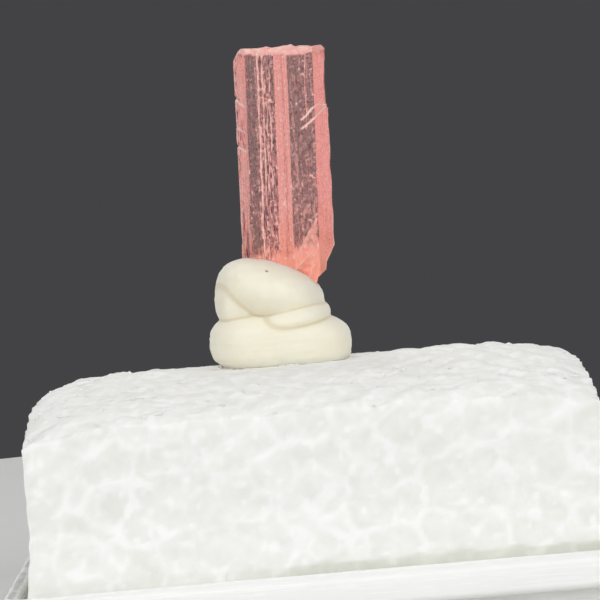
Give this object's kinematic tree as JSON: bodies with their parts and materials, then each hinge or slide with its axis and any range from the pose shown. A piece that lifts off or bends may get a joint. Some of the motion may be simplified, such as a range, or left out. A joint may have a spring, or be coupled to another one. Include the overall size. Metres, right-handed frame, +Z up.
{
  "type": "mounted crystal specimen",
  "caption": "Slender pink prismatic crystal stood upright in pale mounting putty on a white foam block in a shallow square box base.",
  "frame": {"origin": "middle of the underside of the box base", "axes": "+Z up along the standing crystal, +X to the right and -Y to the front, which is the crystal's grooved face"},
  "size_m": [0.032, 0.032, 0.0288],
  "materials": {
    "crystal": "clear rose-pink vayrynenite with a vitreous lustre, grooved lengthwise and etched, rough at the upper end",
    "putty": "matte off-white mounting putty with soft kneaded folds",
    "foam": "white expanded polystyrene foam, cut and a little torn on top",
    "box_plastic": "glossy white moulded polystyrene"
  },
  "bodies": {
    "root": {"crystal": "crystal", "mounting_putty": "putty", "foam_block": "foam", "box_base": "box_plastic"}
  },
  "joints": []
}
